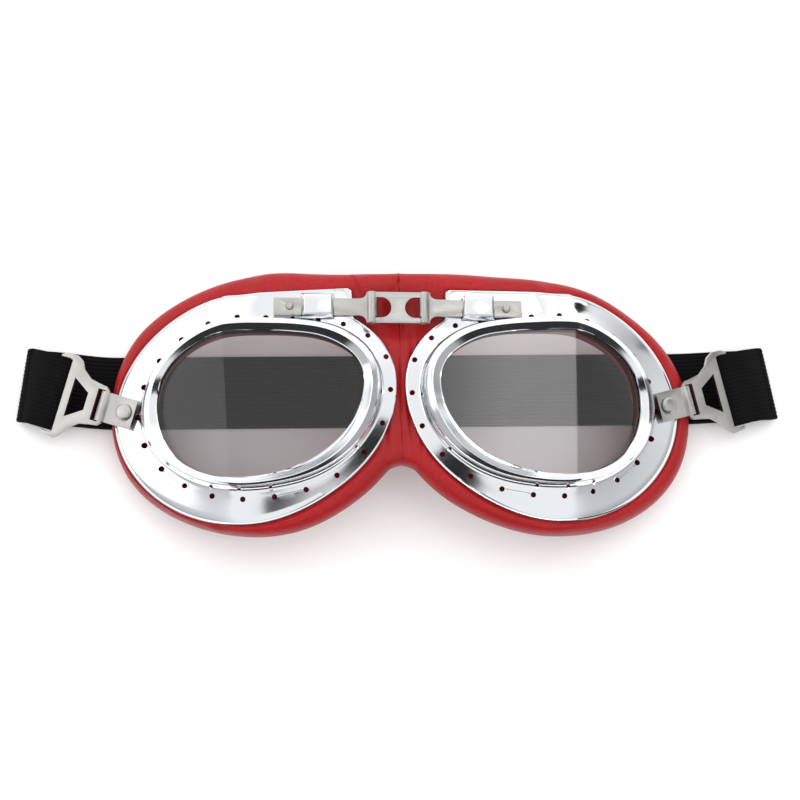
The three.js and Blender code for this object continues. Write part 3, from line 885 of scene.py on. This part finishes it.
def cushion_section(side):
    """Stations round a cushion's section, from under the plate, over the roll and back along the face."""
    lean_out, lean_up = side["lean"]

    def edges(a):
        rim = flange_point(a, 1)
        inner = math.hypot(rim.x - CREASE_U, rim.y)
        free = smoothstep(CREASE_U + cushion_radius(a) * math.cos(a), 14, 44)
        slack = 2.4 * hump(a, 0.87, 0.45) if lean_out > 0 else 0
        outer = cushion_radius(a) + (lean_out * math.cos(a) + lean_up * math.sin(a)) * free - slack
        return rim.z, inner, max(outer, inner + 0.9)

    def polar(a, r, z):
        return Vector((CREASE_U + r * math.cos(a), r * math.sin(a), z))

    def roll(share, extra, drop):
        def at(a):
            z, inner, outer = edges(a)
            return polar(a, inner + share * (outer - inner) + extra, z - drop)

        return at

    def flank(share, inset, down):
        def at(a):
            z, inner, outer = edges(a)
            p = polar(a, inner + share * (outer - inner) - inset, 0)
            low = back_z(p)
            p.z = (z - 1) + (low - z + 1) * down
            return p

        return at

    def lining(out, up):
        def at(a):
            reach = out - 1.6 * max(0.0, math.cos(a)) * (1 - 0.4 * up) * (out < 4)
            p = outset(lens_radius, a, reach, 0)
            low = back_z(p)
            high = crown_z(p.x) - VALLEY_DEPTH - PLATE_THICKNESS - 2 * GAP
            p.z = low + (high - low) * up
            return p

        return at

    def under(share, extra=0.0):
        return lambda a: flange_point(a, share, -PLATE_THICKNESS - 2 * GAP - extra)

    return [
        under(0.1, 2.6), under(0.45, 1.8), under(0.9), roll(0, 0.1, 1.75), roll(0.08, 0.35, 1.25),
        roll(0.3, 0.1, 0.95), roll(0.55, 0, 1.35), roll(0.78, 0, 2.5), roll(0.93, 0, 4.1),
        flank(1.0, 0, 0.48), flank(0.98, 0.1, 0.66), flank(0.9, 0.4, 0.83), flank(0.7, 1.0, 0.95),
        flank(0.3, 2.2, 1.0), lining(8.0, 0), lining(5.5, 0.01), lining(3.2, 0.08), lining(2.3, 0.3),
        lining(2.0, 0.65), lining(2.3, 0.93),
    ]


PINNED_STATIONS = {0, 1, 2, 3, 14, 15, 16, 17, 18, 19}
CUSHION_TURNS = 256
COARSER = 4
CLOTH_FRAMES = 20
CLOTH_PRESSURE = 400


def wrinkle(p, sign):
    """How far the leather sinks at a world point in millimetres: nose folds, overlap and slack."""
    x, y = p.x * sign, p.y
    sink = 0.0
    near_nose = math.exp(-((x / 9.0) ** 2))
    sink += 0.8 * hump(x, -0.9 - 0.03 * y, 2.2) * smoothstep(31 - y, 0, 8)
    for k, (offset, width, depth) in enumerate(((3.4, 0.8, 0.5), (-4.6, 0.9, 0.55), (6.6, 0.9, 0.4))):
        wander = 0.7 * math.sin(y * 0.16 + k * 2.1)
        sink += depth * math.exp(-(((x - offset - wander) / width) ** 2)) * smoothstep(24 - y, 0, 14)
    bridge = math.exp(-((x / 17.0) ** 4)) * math.exp(-(((y - 22.0) / 9.0) ** 4))
    sink += 2.0 * bridge
    seam = x + 16.4 - 0.5 * (34.5 - y)
    sink += 0.9 * math.exp(-((seam / 0.55) ** 2)) * smoothstep(y, 25, 29)
    sink -= 0.45 * (0.5 + 0.5 * math.tanh(seam / 0.5)) * math.exp(-((seam / 5) ** 2)) * smoothstep(y, 25, 29)
    ripple = noise.noise(Vector((x * 0.12, y * 0.12, 3.1))) * 0.28
    fine = noise.noise(Vector((x * 0.45, y * 0.2, 7.7))) * 0.16 * (0.3 + near_nose)
    return sink + ripple + fine


def cushion_shell(name, side, turns):
    """A cushion before it swells, cut off at the nose plane; what can't swell is in the group "pins"."""
    stations = cushion_section(side)
    obj = ring_shell(name, stations, turns)
    obj.data.transform(cup_matrix(side, CUSHION_TURN))
    if side["sign"] < 0:
        obj.data.flip_normals()
    pins = obj.vertex_groups.new(name="pins")
    for i, vertex in enumerate(obj.data.vertices):
        beyond = vertex.co.x * side["sign"] <= 0
        if beyond:
            vertex.co.x = 0
        if beyond or i % len(stations) in PINNED_STATIONS:
            pins.add([i], 1.0, "REPLACE")
    return obj


def vertex_places(obj):
    places = np.zeros(len(obj.data.vertices) * 3)
    obj.data.vertices.foreach_get("co", places)
    return places.reshape(-1, 3)


def inflated(obj):
    """How far each vertex moves when cloth pressure inflates the piece, which is used up by this."""
    before = vertex_places(obj)
    only(obj)
    cloth = obj.modifiers.new("Cloth", "CLOTH")
    cloth.settings.vertex_group_mass = "pins"
    cloth.settings.use_pressure = True
    cloth.settings.uniform_pressure_force = CLOTH_PRESSURE
    cloth.settings.effector_weights.gravity = 0
    cloth.settings.quality = 3
    cloth.settings.tension_stiffness = 12
    cloth.settings.bending_stiffness = 0.6
    cloth.point_cache.frame_start = 1
    cloth.point_cache.frame_end = CLOTH_FRAMES
    for step in range(1, CLOTH_FRAMES + 1):
        bpy.context.scene.frame_set(step)
    bpy.ops.object.modifier_apply(modifier=cloth.name)
    move = vertex_places(obj) - before
    bpy.context.scene.frame_set(1)
    bpy.data.objects.remove(obj)
    return move


def swell(obj, side, sizes):
    """Swells a cushion by what cloth pressure does to a coarser copy, held to a greatest swelling."""
    coarse = inflated(cushion_shell("coarse_cushion", side, CUSHION_TURNS // COARSER))
    far = np.maximum(np.linalg.norm(coarse, axis=1), 1e-9)
    if not 1e-5 < far.max() < 0.05:
        raise RuntimeError(f"{obj.name}: the cloth moved {far.max():.6f} m")
    coarse *= (sizes.puff * np.tanh(far / sizes.puff) / far)[:, None]
    coarse = coarse.reshape(CUSHION_TURNS // COARSER, -1, 3)
    before, here, after, later = (np.roll(coarse, shift, axis=0) for shift in (1, 0, -1, -2))
    fine = np.zeros((CUSHION_TURNS, *coarse.shape[1:]))
    for k in range(COARSER):
        t = k / COARSER
        bend = 2 * before - 5 * here + 4 * after - later
        twist = 3 * (here - after) + later - before
        fine[k::COARSER] = here + 0.5 * t * ((after - before) + t * (bend + t * twist))
    fine = fine.reshape(-1, 3)
    fine[[bool(vertex.groups) for vertex in obj.data.vertices]] = 0
    obj.data.vertices.foreach_set("co", (vertex_places(obj) + fine).ravel())
    obj.data.update()


def level_crease(obj):
    """Smooth shading that runs level over the plane where the two cushions meet."""
    only(obj)
    bpy.ops.object.shade_smooth()
    count = len(obj.data.vertices)
    places, normals = np.zeros(count * 3), np.zeros(count * 3)
    obj.data.vertices.foreach_get("co", places)
    obj.data.vertices.foreach_get("normal", normals)
    normals = normals.reshape(-1, 3)
    on_plane = (np.abs(places.reshape(-1, 3)[:, 0]) < 2e-5) & (np.linalg.norm(normals[:, 1:], axis=1) > 0.1)
    normals[on_plane, 0] = 0
    normals /= np.linalg.norm(normals, axis=1)[:, None]
    obj.data.normals_split_custom_set_from_vertices(normals)


class GOGGLES_OT_cushions(bpy.types.Operator):
    """Stuffed red leather cushions that meet in a crease over the nose"""

    bl_idname = "goggles.cushions"
    bl_label = "Cushions"

    def execute(self, context):
        for side in SIDES:
            name, sign = side["name"], side["sign"]
            obj = cushion_shell(f"{name}_cushion_leather", side, CUSHION_TURNS)
            swell(obj, side, context.scene.goggles_sizes)
            edit(obj, lambda: bpy.ops.mesh.remove_doubles(threshold=1e-7))
            obj.vertex_groups.clear()
            levels = 2
            finish_with(obj, "SUBSURF", levels=levels, render_levels=levels)
            facings = [max(0.0, vertex.normal.z) for vertex in obj.data.vertices]
            for vertex, facing in zip(obj.data.vertices, facings):
                p = vertex.co / MM
                if abs(p.x) < 0.02:
                    p.x = 0
                    facing = 1.0
                top = smoothstep(p.z, 20, 27) if abs(p.x) < 40 else 1.0
                p.z = max(p.z - wrinkle(Vector((p.x * sign, p.y)), sign) * facing * top, 0.05)
                vertex.co = p * MM
            obj.data.update()
            level_crease(obj)
            wear(obj, once("leather", leather))
            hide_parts(f"{name}_cushion")
            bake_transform(obj)
        return {"FINISHED"}


class GOGGLES_OT_stitching(bpy.types.Operator):
    """Beige stitches along the cushions' inner edge"""

    bl_idname = "goggles.stitching"
    bl_label = "Stitching"

    def execute(self, context):
        for side in SIDES:
            only_nothing()
            first = True
            for k in range(46):
                angle = math.radians(-62 + k * 2.9)
                p = outset(lens_radius, angle % (2 * math.pi), 1.9 - 1.4 * max(0.0, math.cos(angle)), 14.5)
                lean = Matrix.Rotation(angle, 3, "Z") @ Matrix.Rotation(math.radians(70), 3, "X")
                bpy.ops.mesh.primitive_uv_sphere_add(
                    segments=8,
                    ring_count=6,
                    radius=1,
                    location=p,
                    rotation=lean.to_euler(),
                    scale=(0.16, 0.16, 0.75),
                )
                if first:
                    obj = fresh(f"{side['name']}_cushion_stitches")
                    bpy.ops.object.transform_apply(location=True, rotation=True, scale=True)
                    bpy.ops.object.mode_set(mode="EDIT")
                    first = False
            bpy.ops.object.mode_set(mode="OBJECT")
            obj.data.transform(cup_matrix(side, side["turn"]))
            if side["sign"] < 0:
                obj.data.flip_normals()
            smooth(obj, 60)
            wear(obj, once("thread", thread))
            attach(obj, f"{side['name']}_cup")
        return {"FINISHED"}


# Metal strips


class GOGGLES_OT_bridge_metal(bpy.types.Operator):
    """Bridge link, curled arms, keepers and rivets"""

    bl_idname = "goggles.bridge_metal"
    bl_label = "Bridge Metal"

    def execute(self, context):
        satin = once("nickel", nickel)
        edge = context.scene.goggles_sizes.edge_round / MM
        bevelled_node("bridge_link", edge, "bridge", satin)
        for side in SIDES:
            name = side["name"]
            bevelled_node(f"{name}_bridge_arm", edge * 0.7, f"{name}_cup", satin, 2)
            bevelled_node(f"{name}_arm_keeper", edge * 2.6, f"{name}_cup", once("chrome", chrome))
            bevelled_node(f"{name}_arm_rivet", edge * 0.6, f"{name}_cup", satin, 2)
        return {"FINISHED"}


class GOGGLES_OT_side_metal(bpy.types.Operator):
    """Side tabs, swivel rivets and strap buckles"""

    bl_idname = "goggles.side_metal"
    bl_label = "Side Metal"

    def execute(self, context):
        satin = once("nickel", nickel)
        edge = context.scene.goggles_sizes.edge_round / MM
        for side in SIDES:
            name = side["name"]
            bevelled_node(f"{name}_side_tab", edge, f"{name}_tab", satin)
            bevelled_node(f"{name}_tab_rivet", edge, f"{name}_cup", satin)
            bevelled_node(f"{name}_buckle", edge * 1.4, f"{name}_buckle", satin)
        return {"FINISHED"}


# Strap


def ribbon(name, sections, side_sign):
    """A woven band through sections of (middle, across), in millimetres, with ribs along it."""
    width, thickness, pitch = 25.0, 1.25, bpy.context.scene.goggles_sizes.rib_pitch / MM
    along, across = len(sections) - 1, 72
    only_nothing()
    bpy.ops.mesh.primitive_grid_add(x_subdivisions=along, y_subdivisions=across, size=1, calc_uvs=True)
    obj = fresh(name)
    walked = [0.0]
    for (a, _), (b, _) in zip(sections, sections[1:]):
        walked.append(walked[-1] + (b - a).length)
    spots = []
    for vertex in obj.data.vertices:
        i = round((vertex.co.x + 0.5) * along)
        share = vertex.co.y
        middle, wide = sections[i]
        ahead = sections[min(i + 1, along)][0] - sections[max(i - 1, 0)][0]
        up = ahead.cross(wide).normalized()
        relief = 0.1 * math.cos(2 * math.pi * share * width / pitch)
        p = middle + wide * (share * width) + up * relief
        vertex.co = (p.x * side_sign * MM, p.y * MM, p.z * MM)
        spots.append((walked[i] * MM, share * width * MM))
    layer = obj.data.uv_layers.active.data
    for loop in obj.data.loops:
        layer[loop.index].uv = spots[loop.vertex_index]
    obj.data.update()
    finish_with(obj, "SOLIDIFY", thickness=thickness * MM, offset=0.0, use_rim=True)
    outward(obj)
    smooth(obj, 50)
    wear(obj, once("elastic", elastic))
    return obj


def turned_sections(side):
    """Sections of the outer strap: along the back, round the slanted fold and onto the front."""
    start, centre = 62.0, side["reach"] - 2.5
    level, bend = 0.7, 1.8
    fold = side["fold"].normalized()
    sections = []
    steps = 34
    for i in range(steps + 1):
        x = start + (centre - start) * i / steps
        share = smoothstep(x, 96, centre)
        wide = Vector((0, 1, 0)).lerp(fold, share).normalized()
        sections.append((Vector((x, side["fold_y"] * share, level)), wide))
    for k in range(1, 13):
        angle = math.pi * k / 12
        rise = bend * (1 - math.cos(angle))
        middle = Vector((centre + bend * math.sin(angle), side["fold_y"], level + rise))
        sections.append((middle, fold))
    return sections


def front_sections(side):
    """Sections of the sewn end: from the fold to the buckle, over its outer bar and back underneath."""
    outward_dir = side["bar"].cross(side["normal"]).normalized()
    if outward_dir.x < 0:
        outward_dir = -outward_dir
    first = turned_sections(side)[-1]
    sections = [first]

    def local(x, z):
        return side["tip"] + outward_dir * x + side["normal"] * z

    bar_width = side["bar"].normalized()
    lead = local(22.6, 1.75)
    for i in range(1, 7):
        share = i / 7
        rise = 0.5 * math.sin(math.pi * share)
        middle = first[0].lerp(lead, share) + side["normal"] * rise
        sections.append((middle, first[1].lerp(bar_width, smoothstep(share, 0, 1)).normalized()))
    loop = [
        (22.6, 1.75), (21.4, 1.72), (20.2, 1.68), (19.2, 1.66), (18.3, 1.6), (17.65, 1.3), (17.3, 0.75),
        (17.2, 0.0), (17.3, -0.75), (17.65, -1.3), (18.3, -1.6), (19.3, -1.66), (20.6, -1.55),
        (22.2, -1.25), (24.2, -1.0), (26.4, -0.95), (28.2, -1.0),
    ]
    sections.extend((local(x, z), bar_width) for x, z in loop)
    return sections


class GOGGLES_OT_strap(bpy.types.Operator):
    """Elastic strap in three pieces each side: the back, the turn round its fold and the sewn end round the
    buckle bar
    """

    bl_idname = "goggles.strap"
    bl_label = "Strap"

    def execute(self, context):
        for side in SIDES:
            name, sign = side["name"], side["sign"]
            level = 0.7
            back = [(Vector((62.0 * i / 31, 0, level)), Vector((0, 1, 0))) for i in range(32)]
            middle = ribbon(f"{name}_strap_back", back, sign)
            if sign > 0:
                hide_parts("strap_middle")
            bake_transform(middle)
            outer = ribbon(f"{name}_strap_turn", turned_sections(side), sign)
            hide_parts(f"{name}_strap_run")
            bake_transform(outer)
            front = ribbon(f"{name}_strap_front", front_sections(side), sign)
            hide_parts(f"{name}_strap_end")
            tip = front_sections(side)[-8][0].x * MM
            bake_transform(front)
        return {"FINISHED"}


# Stage


def soft_light(name, place, target, size, radiance, colour=(1, 1, 1)):
    """A square soft light that faces a target; radiance is the brightness of its face."""
    data = bpy.data.lights.new(name, "AREA")
    data.shape = "RECTANGLE"
    data.size, data.size_y = size
    data.energy = radiance * math.pi * size[0] * size[1]
    data.color = colour
    lamp = bpy.data.objects.new(name, data)
    bpy.context.collection.objects.link(lamp)
    lamp.location = place
    lamp.rotation_euler = (Vector(target) - Vector(place)).to_track_quat("-Z", "Y").to_euler()
    return lamp


def dark_card(name, place, target, size, spin=0):
    """A black card that only reflections see, spun about its own normal by an angle in degrees."""
    only_nothing()
    bpy.ops.mesh.primitive_plane_add(size=1, location=(0, 0, 0))
    card = fresh(name)
    facing = (Vector(target) - Vector(place)).to_track_quat("Z", "Y").to_matrix().to_4x4()
    turn = facing @ Matrix.Rotation(math.radians(spin), 4, "Z")
    card.data.transform(Matrix.Translation(place) @ turn @ Matrix.Diagonal((size[0], size[1], 1, 1)))
    wear(card, once("black_card", black_card))
    for ray in ("visible_camera", "visible_diffuse", "visible_shadow", "visible_transmission"):
        setattr(card, ray, False)
    return card


# Soft panels of the studio, by direction: x, y and z from and to, soft edge, brightness.
PANELS = (
    ((-2, 2), (0.42, 2), (-0.05, 2), 0.12, 1.2),
    ((-2, -0.6), (-0.15, 0.5), (0.22, 0.75), 0.06, 1.6),
    ((0.09, 0.22), (0.1, 0.26), (0.9, 2), 0.03, 4.4),
    ((-2, 2), (-2, -0.7), (-1, 0.6), 0.05, 0.03),
)


def studio_light(world):
    """Even white light with soft brighter and darker panels."""
    f = Finish(world)
    way = f.node("ShaderNodeTexCoord", {}, "Generated")
    split = f.tree.nodes.new("ShaderNodeSeparateXYZ")
    f.feed(split.inputs[0], way)
    axes = [Flow(f, output) for output in split.outputs]
    level = f.clamp(axes[2], 0.05, 0.8, 0.35, 0.95)
    for *spans, soft, brightness in PANELS:
        inside = None
        for axis, (low, high) in zip(axes, spans):
            part = f.clamp(axis, low - soft, low + soft) * f.clamp(axis, high + soft, high - soft)
            inside = part if inside is None else inside * part
        level = level + inside * (brightness - level)
    tone = f.mix(f.clamp(axes[2], 0, 1), (0.97, 0.98, 1.0, 1), (1.0, 1.0, 1.0, 1))
    sky = f.node("ShaderNodeBackground", {"Color": tone, "Strength": level})
    f.node("ShaderNodeOutputWorld", {"Surface": sky})


class GOGGLES_OT_stage(bpy.types.Operator):
    """Pale floor, soft studio light and the camera"""

    bl_idname = "goggles.stage"
    bl_label = "Stage"

    def execute(self, context):
        scene = context.scene
        only_nothing()
        bpy.ops.mesh.primitive_grid_add(x_subdivisions=8, y_subdivisions=8, size=6, location=(0, 0, 0))
        floor = fresh("floor")
        floor.data.transform(Matrix.Translation((0, 0, -0.0003)))
        wear(floor, once("pale_floor", pale_floor))

        world = bpy.data.worlds.new("studio")
        scene.world = world
        studio_light(world)
        fill = soft_light("fill", (0, 0, 1.7), (0, 0, 0), (4.0, 4.0), 0.75)
        fill.visible_glossy = False
        dark_card("temple_card", (0.3, 0.148, 0.19), (0, 0.148, 0.19), (0.16, 0.145))
        dark_card("nose_card", (0.0246, -0.0638, 0.2), (0.0246, -0.0638, 0), (0.15, 0.05), -19)

        tilt, swing, roll = math.radians(10), math.radians(3.72), math.radians(-1.13)
        away = Vector((-math.sin(swing), -math.sin(tilt) * math.cos(swing), math.cos(tilt) * math.cos(swing)))
        right = Vector((0, 1, 0)).cross(away).normalized()
        up = away.cross(right)
        target = (Vector((0, -11, 36)) + right * -0.77 + up * 1.65) * MM
        rolled_right = right * math.cos(roll) + up * math.sin(roll)
        rolled_up = up * math.cos(roll) - right * math.sin(roll)
        data = bpy.data.cameras.new("camera")
        data.sensor_width = 36
        data.lens = 84.5
        data.clip_start = 0.01
        data.clip_end = 50
        camera = bpy.data.objects.new("camera", data)
        bpy.context.collection.objects.link(camera)
        axes = Matrix((rolled_right, rolled_up, away)).transposed().to_4x4()
        camera.matrix_world = Matrix.Translation(target + away * 0.62) @ axes
        scene.camera = camera
        scene.view_settings.view_transform = "Standard"
        return {"FINISHED"}


class GOGGLES_PT_build(bpy.types.Panel):
    """Buttons that build the goggles"""

    bl_idname = "GOGGLES_PT_build"
    bl_label = "Motorcycle Goggles"
    bl_space_type = "VIEW_3D"
    bl_region_type = "UI"
    bl_category = "Goggles"

    def draw(self, context):
        for holder in (context.scene.goggles_sizes, context.scene.goggles_colours):
            box = self.layout.box()
            for key in holder.__annotations__:
                box.prop(holder, key)
        for operator in OPERATORS:
            self.layout.operator(operator.bl_idname)


# The dense cushions come last, because every operator evaluates the pieces that are already there.
OPERATORS = (
    GOGGLES_OT_frame_plates,
    GOGGLES_OT_lens_bezels,
    GOGGLES_OT_lenses,
    GOGGLES_OT_retainer_rings,
    GOGGLES_OT_stitching,
    GOGGLES_OT_bridge_metal,
    GOGGLES_OT_side_metal,
    GOGGLES_OT_strap,
    GOGGLES_OT_stage,
    GOGGLES_OT_cushions,
)
CLASSES = (GogglesSizes, GogglesColours, *OPERATORS, GOGGLES_PT_build)


def register():
    for cls in CLASSES:
        bpy.utils.register_class(cls)
    bpy.types.Scene.goggles_sizes = bpy.props.PointerProperty(type=GogglesSizes)
    bpy.types.Scene.goggles_colours = bpy.props.PointerProperty(type=GogglesColours)


def unregister():
    del bpy.types.Scene.goggles_sizes
    del bpy.types.Scene.goggles_colours
    for cls in reversed(CLASSES):
        bpy.utils.unregister_class(cls)


def main():
    """Builds every piece in order."""
    register()
    for operator in OPERATORS:
        group, label = operator.bl_idname.split(".")
        result = getattr(getattr(bpy.ops, group), label)()
        if result != {"FINISHED"}:
            raise RuntimeError(f"{operator.bl_label} wasn't built")


if __name__ == "__main__":
    main()
